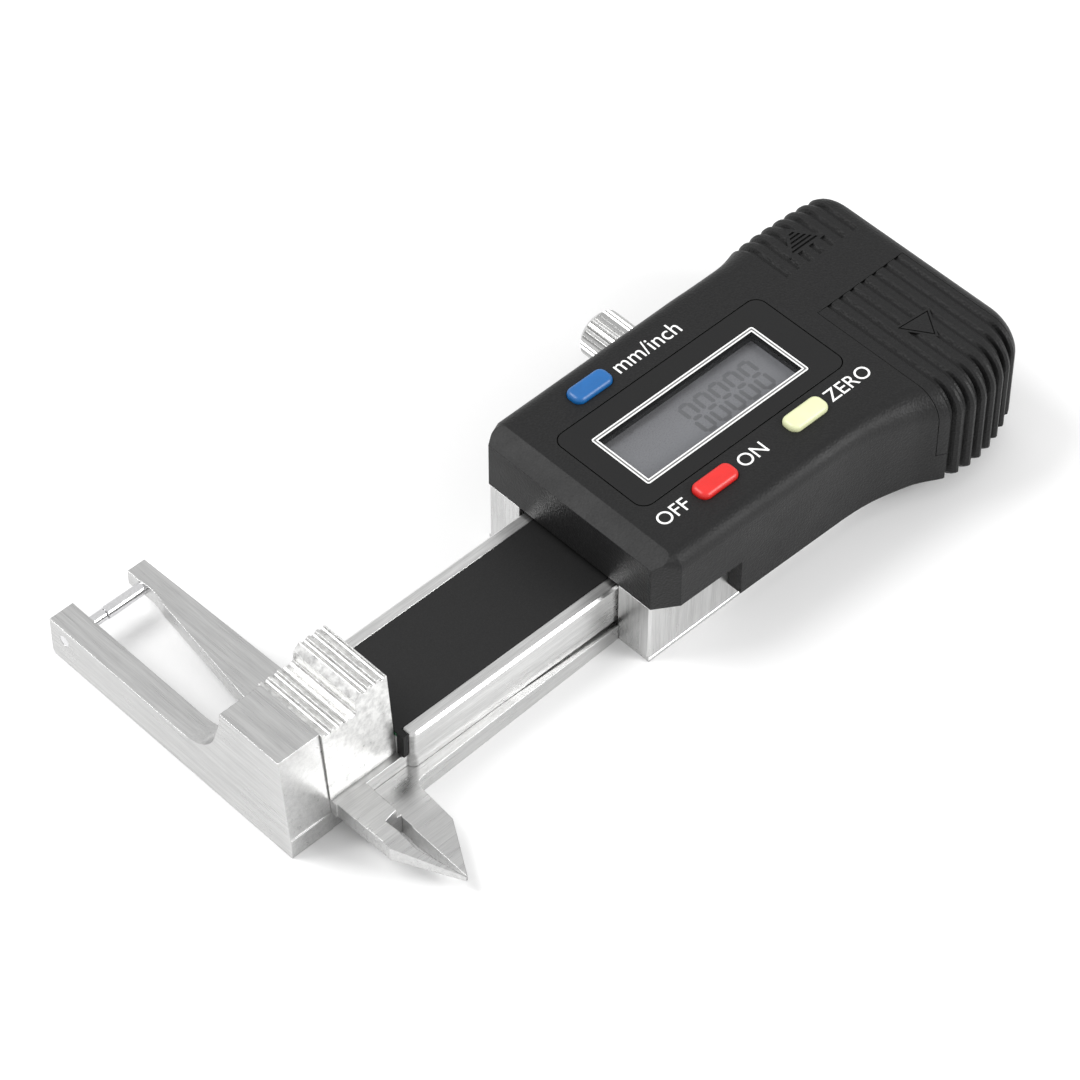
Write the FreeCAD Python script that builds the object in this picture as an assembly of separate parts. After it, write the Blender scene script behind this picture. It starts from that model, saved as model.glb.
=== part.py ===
import FreeCAD, Part
import math
import os

# Digital thickness and tread gauge, closed, lying on its back. Millimetres.
# Working axes: x runs from the outer face of the front jaw to the battery end, y = 0 is the
# centre line of the slide (the pin arms are on +y, the pointed blades on -y), z = 0 is the back.
# Every piece is moved at the end so that the origin is the middle of the footprint.

Vector = FreeCAD.Vector

# ---- driving dimensions -------------------------------------------------------------------
LENGTH = 115.0
ARM_TIP_Y = 37.9
BLADE_TIP_Y = -24.9
BLADE_GRIND_Y = -15.5     # the blades are ground thinner from here to their tips
BLADE_TIP_Z = 2.3
TRAVEL = 25.0
FIT = 0.05                # ordinary running or seating clearance
FLOOR_GAP = 0.05          # the slide runs this much clear of the surface
PAST_SIDES = 26.0         # half width of the tools that cut right across the housing

# stations along x
BLOCK_REAR = 6.5          # seam between the front jaw and the thumb block
MEASURE_X = 12.2          # measuring face of the rear blade
THUMB_STEP = 12.0
THUMB_REAR = 17.1
RAIL_START = 18.0
BODY_FRONT = 52.2
TAB_START = 65.9          # where the housing skirt comes down over the body block
TAB_CHAMFER = 0.7
BODY_REAR = 97.5
BEAM_REAR = 94.5

# heights
BASE_TOP = 3.0
SLIDE_BOTTOM = 3.05
PLATE_TOP = 5.4
RAIL_TOP = 9.2
BLOCK_TOP = 9.9
HOUSING_BOTTOM = 9.95
SKIRT_BOTTOM = 3.3
HOUSING_TOP = 18.65
BACK_PLATE = 0.6
SEAM_CHAMFER = 0.12

# widths from the centre line
RAIL_Y = 8.5
STRIP_Y = 6.7
SLIDE_PLATE_Y = 7.6
CAP_Y = 7.9
BLOCK_Y = 14.4
CHANNEL_NEG_Y = -8.6
CHANNEL_POS_Y = 8.9

# front jaw, thumb block and pins
ARM_THICK = 3.7
ARM_HEIGHT = 6.25
JAW_TOP = 16.65
JAW_TOP_Y = 5.2
JAW_SIDE_Y = 6.6
FOOT_TOP = 3.2
FOOT_Y = 6.75
FOOT_REAR = 11.9
ARM_FILLET = 6.8
ARM_SWEEP_Y = 13.05       # the arm's top starts to sweep up to the jaw here
THUMB_LOW = 16.55
THUMB_HIGH = 19.1
THUMB_TOP_Y = 5.4
THUMB_SIDE_Y = 6.6
GRIP_PITCH = 1.42
GRIP_R = 0.48
GRIP_LOW_X = 7.5
GRIP_HIGH_X = 13.55
GRIP_CORNER_R = 0.72
PIN_Y = 35.3
PIN_Z = 4.2
PIN_R = 0.92
FRONT_PIN_R = 0.82
PIN_SEAM = 6.43
PIN_REAR = 15.15

# housing
WALL = 1.6
BOSS_R = 2.2
BEVEL_RUN = 2.75
BEVEL_DROP = 1.55
FRONT_WALL = 3.8
CAVITY_TOP = HOUSING_TOP - WALL
SHELF_Y = 13.5            # half width of the opening above the body block
SHELF_TOP = 11.2
FOOT_CHAMFER = 0.7

# stations of the housing: x, extent on -y, extent on +y, top edge radius on -y and on +y
NOSE = [(52.2, 14.4, 14.4, 0.5, 0.5), (55.4, 16.5, 16.3, 2.3, 2.3), (84.0, 17.0, 16.5, 2.3, 2.3)]
FLARE = [(84.0, 17.0, 16.5, 2.3, 2.3), (87.0, 17.2, 16.5, 2.4, 2.3), (90.0, 17.7, 16.5, 2.7, 2.4),
         (93.0, 18.5, 16.6, 3.2, 2.6), (95.5, 19.4, 16.9, 3.7, 3.0), (97.1, 20.3, 17.4, 4.0, 3.4),
         (98.45, 21.0, 18.0, 4.2, 4.0)]
RIBBED = [(98.45, 21.0, 18.0), (101.4, 21.7, 18.2), (104.0, 21.7, 18.2), (107.2, 21.2, 18.1),
          (109.3, 20.5, 18.0), (111.3, 19.7, 17.8), (112.6, 19.0, 17.6)]
RIBBED_ROUND = (4.2, 4.0)

# rounded end: share of its run, how much narrower it is there on -y and on +y
END_NARROWING = [(0.0, 0.0, 0.0), (0.33, 0.5, 0.3), (0.6, 1.1, 0.7), (0.8, 1.9, 1.3), (0.93, 2.7, 2.0),
                 (1.0, 4.4, 3.7)]
END_STEPS = 9

# stations of the room inside: x, extent on -y, extent on +y, slope of the shoulders
CAVITY = [(67.5, 15.2, 14.7, 1.0), (84.0, 15.3, 14.7, 1.0), (90.0, 15.9, 14.8, 1.4), (97.0, 18.0, 15.4, 3.2),
          (103.0, 19.3, 16.0, 3.4), (109.0, 18.2, 15.8, 3.4), (112.9, 16.4, 15.2, 3.4)]

# ribbed battery end
GROOVE_FIRST = 99.3
GROOVE_PITCH = 2.06
GROOVE_COUNT = 7
GROOVE = [(0.85, 0.0, 0.0), (0.5, 0.35, 0.0), (0.2, 0.9, 0.32)]   # distance from its middle, depth, drop
DOOR_SEAM_Y = 1.1
DOOR_START = 97.1
DOOR_END = 112.9
DOOR_GAP = 0.08
TOE = (99.0, 8.6)         # the first rib of the door stands on the housing up to this x and height
LEFT_RIB_Y = 8.2
BARE_THICK = 1.2          # depth of the smooth strip between the door's ribs and the others
DOOR_ARROW = [(102.8, -8.0), (107.3, -8.4), (105.2, -11.6)]
LEFT_ARROW = [(102.5, 10.7), (107.2, 10.7), (105.0, 13.9)]
ARROW_PAD = 0.45
ARROW_PAD_THICK = 0.6
ARROW_LINE = 0.16
ARROW_DEPTH = 0.22
ARROW_BARS = 5
ARROW_BAR = 0.3
ARROW_BAR_PITCH = 0.62

# display
PANEL = (57.6, 93.6, -7.5, 8.5)
PANEL_THICK = 0.5
PANEL_CORNER = 1.6
PANEL_GROOVE = 0.16
LENS = (60.95, 89.35, -5.0, 5.2)
LENS_THICK = 0.8
LENS_LEDGE = 0.7

# buttons: name -> centre
BUTTONS = {"unit_button": (67.1, 11.7), "power_button": (67.1, -10.4), "zero_button": (83.2, -10.2)}
BUTTON_LONG = 6.5
BUTTON_WIDE = 2.9
BUTTON_TOP = HOUSING_TOP + 0.8
BUTTON_PLAY = 0.08
BUTTON_FLANGE = 0.7
BUTTON_TRAVEL = 0.6
BUTTON_CORNER_R = 1.1
BUTTON_CROWN = 0.68
DOME_TOP = 11.7

# electronics
BOARD = (57.0, 92.0, -13.2, 13.2)
BOARD_BOTTOM = BLOCK_TOP
BOARD_TOP = 11.0
LCD = (59.6, 90.7, -6.2, 6.4)
LCD_BOTTOM = 15.4
LCD_TOP = 17.0

# lock screw on the +y side
LOCK_X = 83.2
LOCK_Z = 6.15
LOCK_OPENING_R = 2.2
STEM_R = 1.5
KNOB_R = 3.45
KNOB_INNER_Y = 17.3
KNOB_OUTER_Y = 26.9
KNURLS = 28

# bottom cover of the battery end
PAN_FLANGE = (3.4, 4.3)
PAN_WALL = 1.6

# screws: height of the head's face, height of the tip, radius, head radius, head height
HOUSING_SCREW = (0.02, 15.0, 1.0, 1.75, 0.6)
BASE_SCREW = (0.02, 2.7, 0.8, 1.5, 0.7)
ARM_SCREW = (0.1, 5.0, 0.6, 1.0, 0.5)
PAN_SCREW = (0.12, 12.0, 0.9, 1.6, 0.7)
JAW_SCREW = (0.27, 8.9, 1.0, 1.8, 0.9)
THUMB_SCREW = (3.14, 8.9, 1.0, 1.8, 0.9)
SCREW_PLAY = 0.02
HOUSING_SCREWS = [(55.0, -11.5), (55.0, 11.5), (94.4, -11.5), (94.4, 11.5)]
BASE_SCREWS = [(58.0, -5.0), (58.0, 5.0), (93.6, -5.0), (93.6, 5.0)]
PAN_SCREWS = [(101.0, 6.5), (109.5, 10.5)]
JAW_SCREWS = [(8.8, -3.5), (8.8, 3.5)]
THUMB_SCREWS = [(14.3, -3.5), (14.3, 3.5)]
ARM_SCREWS = [(13.0, 10.6), (15.2, 10.6)]
GIB_SCREW_X = [60.0, 91.0]
STOP_X = 91.0
STOP_R = 1.4

# battery
CELL_R = 5.8
CELL_HEIGHT = 5.4
CELL_CENTRE = (105.0, -8.6)
CELL_BOTTOM = 11.3
CONTACT_THICK = 0.2

ORIGIN = Vector(LENGTH / 2, (ARM_TIP_Y + BLADE_TIP_Y) / 2, 0)


# ---- shape helpers ------------------------------------------------------------------------
def box(x0, x1, y0, y1, z0, z1):
    return Part.makeBox(x1 - x0, y1 - y0, z1 - z0, Vector(x0, y0, z0))


def prism_z(points, z0, z1):
    """Closed outline in the x-y plane, raised from z0 to z1."""
    wire = Part.makePolygon([Vector(x, y, z0) for x, y in points + points[:1]])
    return Part.Face(wire).extrude(Vector(0, 0, z1 - z0))


def prism_x(points, x0, x1):
    """Closed outline in the y-z plane, run from x0 to x1."""
    wire = Part.makePolygon([Vector(x0, y, z) for y, z in points + points[:1]])
    return Part.Face(wire).extrude(Vector(x1 - x0, 0, 0))


def prism_y(points, y0, y1):
    """Closed outline in the x-z plane, run from y0 to y1."""
    wire = Part.makePolygon([Vector(x, y0, z) for x, z in points + points[:1]])
    return Part.Face(wire).extrude(Vector(0, y1 - y0, 0))


def rod_x(radius, x0, x1, y, z):
    return Part.makeCylinder(radius, x1 - x0, Vector(x0, y, z), Vector(1, 0, 0))


def rod_y(radius, y0, y1, x, z):
    return Part.makeCylinder(radius, y1 - y0, Vector(x, y0, z), Vector(0, 1, 0))


def rod_z(radius, z0, z1, x, y):
    return Part.makeCylinder(radius, z1 - z0, Vector(x, y, z0), Vector(0, 0, 1))


def upright_edges(shape, near=None):
    """Edges parallel to z, all of them or only those at the given x-y places."""
    found = []
    for edge in shape.Edges:
        start, end = edge.Vertexes[0].Point, edge.Vertexes[-1].Point
        if abs(start.x - end.x) > 1e-6 or abs(start.y - end.y) > 1e-6:
            continue
        if near is None or any(abs(start.x - x) < 0.02 and abs(start.y - y) < 0.02 for x, y in near):
            found.append(edge)
    return found


def edges_at_height(shape, height):
    return [e for e in shape.Edges if all(abs(v.Point.z - height) < 1e-6 for v in e.Vertexes)
            and abs(e.BoundBox.ZMax - height) < 1e-6 and abs(e.BoundBox.ZMin - height) < 1e-6]


def rounded_bar(x0, x1, y0, y1, z0, z1, radius):
    bar = box(x0, x1, y0, y1, z0, z1)
    return bar.makeFillet(radius, upright_edges(bar))


def cut_all(shape, tools):
    for tool in tools:
        shape = shape.cut(tool)
    return shape


def fuse_all(shapes):
    result = shapes[0]
    for shape in shapes[1:]:
        result = result.fuse(shape)
    return result.removeSplitter()


def screw_up(x, y, z_head, z_tip, radius, head_radius, head_height):
    """Countersunk screw put in from below, with a cross recess in its head."""
    head = Part.makeCone(head_radius, radius, head_height, Vector(x, y, z_head), Vector(0, 0, 1))
    body = head.fuse(rod_z(radius, z_head, z_tip, x, y))
    slot, depth = head_radius * 0.62, head_height * 0.5
    cross = box(x - slot, x + slot, y - 0.17, y + 0.17, z_head - 1, z_head + depth)
    cross = cross.fuse(box(x - 0.17, x + 0.17, y - slot, y + slot, z_head - 1, z_head + depth))
    return body.cut(cross)


def screw_hole(x, y, z_head, z_tip, radius, head_radius, head_height):
    """Room for screw_up, a little wider than the screw and as deep."""
    wide, narrow = head_radius + SCREW_PLAY, radius + SCREW_PLAY
    head = Part.makeCone(wide, narrow, head_height, Vector(x, y, z_head), Vector(0, 0, 1))
    entry = rod_z(wide, z_head - 2, z_head, x, y)
    return head.fuse(rod_z(narrow, z_head, z_tip + SCREW_PLAY, x, y)).fuse(entry)


def tip_hole(x, y, z_tip, radius):
    """Blind hole for a screw's shank, open at the back."""
    return rod_z(radius + SCREW_PLAY, -1, z_tip + SCREW_PLAY, x, y)


# ---- fixed steel frame --------------------------------------------------------------------
def base_bar():
    """Long base plate with the rear blade, the ear for the rear arm and the travel slot."""
    half_front, half_back = 10.0, 9.05
    outline = [(MEASURE_X, half_front + 2.6), (17.0, half_front + 2.6), (18.4, half_front),
               (BODY_FRONT - FIT, half_back), (BODY_FRONT - FIT, -half_back), (18.4, -half_front),
               (17.4, -10.2), (16.9, -11.2), (16.4, -17.3), (11.75, BLADE_TIP_Y),
               (12.05, -14.9), (MEASURE_X, -14.7)]
    bar = prism_z(outline, 0, BASE_TOP)
    tongue = box(BODY_FRONT - 1, 95.3, CHANNEL_NEG_Y + FIT, 8.55, BACK_PLATE + FIT, BASE_TOP)
    bar = bar.fuse(tongue)
    lift = box(BODY_FRONT - FIT, BODY_REAR, -20, 20, -1, BACK_PLATE + FIT)
    slot_start = STOP_X - TRAVEL - STOP_R - 0.15
    slot = rounded_bar(slot_start, STOP_X + STOP_R + 0.15, -STOP_R - 0.12, STOP_R + 0.12, 0, 4, STOP_R)
    relief_depth, relief_start = 0.6, 34.0
    relief = [(relief_start, BASE_TOP), (BODY_FRONT + 1, BASE_TOP - relief_depth),
              (BODY_FRONT + 1, BASE_TOP + 1), (relief_start, BASE_TOP + 1)]
    reliefs = [prism_y(relief, 7.9, 11), prism_y(relief, -11, -7.9)]
    holes = [screw_hole(x, y, *BASE_SCREW) for x, y in BASE_SCREWS]
    holes += [screw_hole(x, y, *ARM_SCREW) for x, y in ARM_SCREWS]
    grind = prism_x([(BLADE_GRIND_Y, -1), (BLADE_GRIND_Y, 0), (BLADE_TIP_Y, BLADE_TIP_Z),
                     (BLADE_TIP_Y - 1, BLADE_TIP_Z), (BLADE_TIP_Y - 1, -1)], 11, 18)
    return cut_all(bar, [lift, slot, grind] + reliefs + holes).removeSplitter()


def rear_arm():
    """Thin curved arm that carries the fixed pin."""
    bottom, top = BASE_TOP + 0.02, 5.35
    start = Vector(9.0, 8.65, bottom)
    tip_in = Vector(12.45, 35.9, bottom)
    waist = Vector(12.62, 34.0, bottom)
    shoulder = Vector(12.1, 30.7, bottom)
    corners = [Vector(12.45, ARM_TIP_Y, bottom), Vector(15.2, ARM_TIP_Y, bottom),
               Vector(15.85, 12.9, bottom), Vector(15.85, 8.65, bottom), start]
    edges = [Part.makePolygon([tip_in] + corners).Edges[i] for i in range(5)]
    edges.append(Part.LineSegment(start, shoulder).toShape())
    edges.append(Part.Arc(shoulder, waist, tip_in).toShape())
    face = Part.Face(Part.Wire(Part.__sortEdges__(edges)))
    arm = face.extrude(Vector(0, 0, top - bottom))
    holes = [tip_hole(x, y, ARM_SCREW[1], ARM_SCREW[2]) for x, y in ARM_SCREWS]
    return cut_all(arm, holes + [rod_x(PIN_R, 10, 18, PIN_Y, PIN_Z)])


def rear_arm_screws():
    return [screw_up(x, y, *ARM_SCREW) for x, y in ARM_SCREWS]


def pin(x0, x1, radius, nose):
    """Hardened contact pin with a small chamfer at its measuring end, which is at x = nose."""
    shape = rod_x(radius, x0, x1, PIN_Y, PIN_Z)
    rim = [e for e in shape.Edges if abs(e.BoundBox.XMax - nose) < 1e-4 and abs(e.BoundBox.XMin - nose) < 1e-4]
    return shape.makeChamfer(0.12, rim)


def body_block():
    """Milled block, a channel closed at the back, that the slide runs in."""
    block = box(BODY_FRONT, BODY_REAR, -BLOCK_Y, BLOCK_Y, BACK_PLATE, BLOCK_TOP)
    corners = [(BODY_FRONT, -BLOCK_Y), (BODY_FRONT, BLOCK_Y)]
    block = block.makeChamfer(0.3, upright_edges(block, corners))
    block = block.makeChamfer(SEAM_CHAMFER, edges_at_height(block, BACK_PLATE))
    channel = box(BODY_FRONT - 1, 95.5, CHANNEL_NEG_Y, CHANNEL_POS_Y, 0, 12)
    mouth = prism_z([(BODY_FRONT - 1, -9.5), (BODY_FRONT + 0.5, CHANNEL_NEG_Y), (BODY_FRONT + 0.5, 8),
                     (BODY_FRONT - 1, 8)], 0, 12)
    screw_holes = [screw_hole(x, y, *HOUSING_SCREW) for x, y in HOUSING_SCREWS]
    gib_holes = [rod_y(1.27, 8, 16, x, LOCK_Z) for x in GIB_SCREW_X]
    lock_hole = rod_y(STEM_R + FIT, 8, 16, LOCK_X, LOCK_Z)
    return cut_all(block, [channel, mouth, lock_hole] + screw_holes + gib_holes).removeSplitter()


def back_plate():
    plate = box(BODY_FRONT, BODY_REAR, -BLOCK_Y, BLOCK_Y, 0, BACK_PLATE)
    plate = plate.makeChamfer(SEAM_CHAMFER, edges_at_height(plate, BACK_PLATE))
    holes = [screw_hole(x, y, *HOUSING_SCREW) for x, y in HOUSING_SCREWS]
    holes += [screw_hole(x, y, *BASE_SCREW) for x, y in BASE_SCREWS]
    return cut_all(plate, holes)


def housing_screws():
    return [screw_up(x, y, *HOUSING_SCREW) for x, y in HOUSING_SCREWS]


def base_screws():
    return [screw_up(x, y, *BASE_SCREW) for x, y in BASE_SCREWS]


def gib_strip():
    """Brass strip between the slide and the body wall, taking up the play."""
    return box(56.0, 94.8, RAIL_Y + 0.04, CHANNEL_POS_Y - 0.02, 3.4, 8.7)


def gib_screws():
    screws = []
    for x in GIB_SCREW_X:
        body = rod_y(1.25, CHANNEL_POS_Y, 14.0, x, LOCK_Z)
        socket = Part.makePolygon([Vector(x + 0.7 * math.cos(a), 13.0, LOCK_Z + 0.7 * math.sin(a))
                                   for a in [i * math.pi / 3 for i in range(7)]])
        screws.append(body.cut(Part.Face(socket).extrude(Vector(0, 2, 0))))
    return screws


# ---- slide --------------------------------------------------------------------------------
def front_blade():
    """Front blade: plate that is ground down to a point level with the rear blade."""
    outline = [(6.7, -SLIDE_PLATE_Y + 1), (6.7, -10.0), (6.9, -16.6), (11.68, BLADE_TIP_Y + 0.05),
               (9.4, -18.5), (9.15, -13.4), (11.3, -13.0), (11.3, -SLIDE_PLATE_Y + 1)]
    blade = prism_z(outline, 0.3, PLATE_TOP)
    below = prism_x([(0, 0), (0, SLIDE_BOTTOM), (BLADE_GRIND_Y, SLIDE_BOTTOM), (BLADE_TIP_Y, BLADE_TIP_Z - 0.1),
                     (-30, BLADE_TIP_Z - 0.1), (-30, 0)], 5, 13)
    above = prism_x([(BLADE_GRIND_Y, PLATE_TOP), (BLADE_TIP_Y, BASE_TOP), (-30, BASE_TOP), (-30, 8),
                     (BLADE_GRIND_Y, 8)], 5, 13)
    pad = box(9.2, MEASURE_X - 0.03, -12.9, -8.2, 0.3, SLIDE_BOTTOM + 0.5)
    return fuse_all([cut_all(blade, [below, above]), pad])


def slide_beam():
    """Slide: front plate with the front blade, then the two rails with the scale recess."""
    plate = box(BLOCK_REAR + 0.02, RAIL_START + 1, -SLIDE_PLATE_Y, SLIDE_PLATE_Y, SLIDE_BOTTOM, PLATE_TOP)
    core = box(THUMB_REAR + FIT, RAIL_START + 1, -STRIP_Y, STRIP_Y, PLATE_TOP - 1, 8.4)
    beam = box(RAIL_START, BEAM_REAR, -RAIL_Y, RAIL_Y, SLIDE_BOTTOM, RAIL_TOP)
    beam = beam.makeFillet(1.0, upright_edges(beam, [(RAIL_START, -RAIL_Y), (RAIL_START, RAIL_Y)]))
    rail_edges = [e for e in beam.Edges if abs(e.BoundBox.ZMin - RAIL_TOP) < 1e-6
                  and e.BoundBox.XLength > 50]
    beam = beam.makeChamfer(0.35, rail_edges)
    recess = box(THUMB_REAR, BEAM_REAR + 1, -STRIP_Y, STRIP_Y, 8.4, 12)
    solid = fuse_all([plate, core, beam, front_blade()]).cut(recess)
    holes = [screw_hole(x, y, *THUMB_SCREW) for x, y in THUMB_SCREWS]
    holes += [tip_hole(x, y, JAW_SCREW[1], JAW_SCREW[2]) for x, y in JAW_SCREWS]
    holes.append(rod_z(0.95, 2, 6.5, STOP_X, 0))
    return cut_all(solid, holes).removeSplitter()


def scale_board():
    return box(THUMB_REAR + 0.1, BEAM_REAR - 0.1, -STRIP_Y + FIT, STRIP_Y - FIT, 8.4, 9.0)


def scale_strip():
    """Black cover of the scale, with an end cap in front of the rails."""
    strip = box(THUMB_REAR + 0.1, BEAM_REAR - 0.1, -STRIP_Y + FIT, STRIP_Y - FIT, 9.0, RAIL_TOP)
    cap = box(THUMB_REAR + 0.1, RAIL_START - 0.03, -CAP_Y, CAP_Y, PLATE_TOP + 0.02, RAIL_TOP)
    core_room = box(THUMB_REAR, RAIL_START, -STRIP_Y - 0.02, STRIP_Y + 0.02, PLATE_TOP, 9.01)
    return strip.fuse(cap.cut(core_room)).removeSplitter()


def stop_screw():
    """Button-headed screw under the slide, running in the slot of the base bar."""
    head = rod_z(STOP_R, 1.1, SLIDE_BOTTOM, STOP_X, 0)
    slot = box(STOP_X - 2, STOP_X + 2, -0.2, 0.2, 0, 1.7)
    return [head.fuse(rod_z(0.93, 2, 6.4, STOP_X, 0)).cut(slot)]


def thumb_block():
    """Two grooved terraces for the thumb."""
    front, bevel, lip = BLOCK_REAR + 0.02, 0.9, 0.3
    profile = [(front, PLATE_TOP), (THUMB_REAR, PLATE_TOP), (THUMB_REAR, THUMB_HIGH - lip),
               (THUMB_REAR - lip, THUMB_HIGH), (THUMB_STEP + bevel, THUMB_HIGH),
               (THUMB_STEP, THUMB_HIGH - bevel), (THUMB_STEP, THUMB_LOW), (front, THUMB_LOW)]
    sides = [(-THUMB_SIDE_Y, PLATE_TOP), (-THUMB_TOP_Y, THUMB_HIGH), (THUMB_TOP_Y, THUMB_HIGH),
             (THUMB_SIDE_Y, PLATE_TOP)]
    block = prism_y(profile, -8, 8).common(prism_x(sides, 5, 18))
    grooves = [rod_y(GRIP_R, -8, 8, GRIP_LOW_X + GRIP_PITCH * i, THUMB_LOW) for i in range(3)]
    grooves += [rod_y(GRIP_R, -8, 8, GRIP_HIGH_X + GRIP_PITCH * i, THUMB_HIGH) for i in range(3)]
    grooves.append(rod_y(GRIP_CORNER_R, -8, 8, THUMB_STEP - GRIP_CORNER_R, THUMB_LOW + 0.2))
    holes = [tip_hole(x, y, THUMB_SCREW[1], THUMB_SCREW[2]) for x, y in THUMB_SCREWS + JAW_SCREWS]
    return cut_all(block, grooves + holes).removeSplitter()


def thumb_screws():
    return [screw_up(x, y, *THUMB_SCREW) for x, y in THUMB_SCREWS]


def front_jaw():
    """Front jaw: block, foot under the slide plate, and the thick arm with the moving pin."""
    block = prism_x([(-JAW_SIDE_Y, FOOT_TOP), (-JAW_TOP_Y, JAW_TOP), (JAW_TOP_Y, JAW_TOP),
                     (JAW_SIDE_Y, FOOT_TOP)], 0, BLOCK_REAR)
    foot = box(0, BLOCK_REAR, -FOOT_Y, FOOT_Y, FLOOR_GAP, FOOT_TOP)
    toe = box(1, FOOT_REAR, -FOOT_Y + 0.1, FOOT_Y - 0.1, FLOOR_GAP, BASE_TOP)
    root, rise = 4.5, 15.0
    profile = [Vector(0, root, FLOOR_GAP), Vector(0, ARM_TIP_Y - 0.5, FLOOR_GAP),
               Vector(0, ARM_TIP_Y, FLOOR_GAP + 0.5), Vector(0, ARM_TIP_Y, ARM_HEIGHT),
               Vector(0, ARM_SWEEP_Y, ARM_HEIGHT)]
    edges = Part.makePolygon(profile).Edges
    centre = Vector(0, ARM_SWEEP_Y, ARM_HEIGHT + ARM_FILLET)
    around = [centre - Vector(0, ARM_FILLET * math.sin(a), ARM_FILLET * math.cos(a))
              for a in (math.radians(38), math.radians(76))]
    edges.append(Part.Arc(profile[-1], around[0], around[1]).toShape())
    back_down = [around[1], Vector(0, JAW_TOP_Y + 0.1, rise), Vector(0, root, rise), profile[0]]
    edges += Part.makePolygon(back_down).Edges
    arm = Part.Face(Part.Wire(edges)).extrude(Vector(ARM_THICK, 0, 0))
    holes = [rod_x(FRONT_PIN_R, -1, 5, PIN_Y, PIN_Z)]
    holes += [screw_hole(x, y, *JAW_SCREW) for x, y in JAW_SCREWS]
    return cut_all(fuse_all([block, foot, toe, arm]), holes).removeSplitter()


def jaw_screws():
    return [screw_up(x, y, *JAW_SCREW) for x, y in JAW_SCREWS]


# ---- housing ------------------------------------------------------------------------------
def section(x, low, high, round_low, round_high, drop=0.0):
    """Outline of the housing across the slide at x, from -low to high, its top lowered by drop."""
    top, foot = HOUSING_TOP - drop, SKIRT_BOTTOM + FOOT_CHAMFER
    bend = 1 - math.sqrt(0.5)
    corners = [(-low + FOOT_CHAMFER, SKIRT_BOTTOM), (-low, foot), (-low, top - round_low),
               (-low + round_low, top), (high - round_high, top), (high, top - round_high), (high, foot),
               (high - FOOT_CHAMFER, SKIRT_BOTTOM)]
    middles = {2: (-low + round_low * bend, top - round_low * bend),
               4: (high - round_high * bend, top - round_high * bend)}
    edges = []
    for i, start in enumerate(corners):
        ends = [Vector(x, *start), Vector(x, *corners[(i + 1) % len(corners)])]
        if i in middles:
            edges.append(Part.Arc(ends[0], Vector(x, *middles[i]), ends[1]).toShape())
        else:
            edges.append(Part.LineSegment(*ends).toShape())
    return Part.Wire(edges)


def between(table, x):
    """Row of a station table at x, by straight interpolation."""
    for before, after in zip(table, table[1:]):
        if before[0] <= x <= after[0]:
            share = (x - before[0]) / (after[0] - before[0])
            return [a + (b - a) * share for a, b in zip(before, after)]
    raise ValueError(x)


def ribbed_stations():
    stations = []
    for i in range(GROOVE_COUNT):
        middle = GROOVE_FIRST + GROOVE_PITCH * i
        half = [(-distance, depth, sink) for distance, depth, sink in GROOVE]
        for offset, depth, sink in half + [(-o, d, k) for o, d, k in reversed(half)]:
            x, low, high = between(RIBBED, middle + offset)
            stations.append((x, low - depth, high - depth, *RIBBED_ROUND, sink))
    return stations


def end_stations():
    """Rounded end, a quarter turn from the last groove down to the battery end."""
    start = GROOVE_FIRST + GROOVE_PITCH * (GROOVE_COUNT - 1) + GROOVE[0][0]
    run = LENGTH - start
    low, high = between(RIBBED, start)[1:]
    stations = []
    for i in range(END_STEPS + 1):
        angle = math.pi / 2 * i / END_STEPS
        less_low, less_high = between(END_NARROWING, min(math.sin(angle), 1.0))[1:]
        stations.append((start + run * math.sin(angle), low - less_low, high - less_high, *RIBBED_ROUND,
                         run * (1 - math.cos(angle))))
    return stations


def loft(stations, ruled):
    return Part.makeLoft([section(*station) for station in stations], True, ruled)


def front_bevel():
    """Wedge taken off the top front edge."""
    before, lowest = BODY_FRONT - 1, HOUSING_TOP - BEVEL_DROP * (1 + 1 / BEVEL_RUN)
    wedge = [(before, lowest), (BODY_FRONT + BEVEL_RUN, HOUSING_TOP), (BODY_FRONT + BEVEL_RUN, HOUSING_TOP + 1),
             (before, HOUSING_TOP + 1)]
    return prism_y(wedge, -PAST_SIDES, PAST_SIDES)


def front_notch():
    """Room in front of the skirt, with the skirt's lower front corner cut off."""
    before, slope = BODY_FRONT - 1, TAB_START + TAB_CHAMFER
    outline = [(before, 0), (slope, 0), (slope, SKIRT_BOTTOM), (TAB_START, SKIRT_BOTTOM + TAB_CHAMFER),
               (TAB_START, HOUSING_BOTTOM), (before, HOUSING_BOTTOM)]
    return prism_y(outline, -PAST_SIDES, PAST_SIDES)


def arrow_outline(points, grow):
    wire = Part.makePolygon([Vector(x, y, HOUSING_TOP) for x, y in points + points[:1]])
    return Part.Face(wire.makeOffset2D(grow, 2))


def arrow_pads():
    """Level ground for the two arrows, between the ribs."""
    return [arrow_outline(points, ARROW_PAD).extrude(Vector(0, 0, -ARROW_PAD_THICK))
            for points in (DOOR_ARROW, LEFT_ARROW)]


def arrow_marks():
    """Line round the arrow of the door, and bars across the other arrow."""
    outline = arrow_outline(DOOR_ARROW, ARROW_LINE).cut(arrow_outline(DOOR_ARROW, 0.0))
    marks = [outline.extrude(Vector(0, 0, -ARROW_DEPTH))]
    solid = arrow_outline(LEFT_ARROW, 0.0).extrude(Vector(0, 0, -ARROW_DEPTH))
    start, end, base = LEFT_ARROW[0][0], LEFT_ARROW[1][0], LEFT_ARROW[0][1]
    for i in range(ARROW_BARS):
        low = base + ARROW_BAR_PITCH * i
        marks.append(solid.common(box(start, end, low, low + ARROW_BAR, HOUSING_TOP - 1, HOUSING_TOP + 1)))
    return marks


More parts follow.
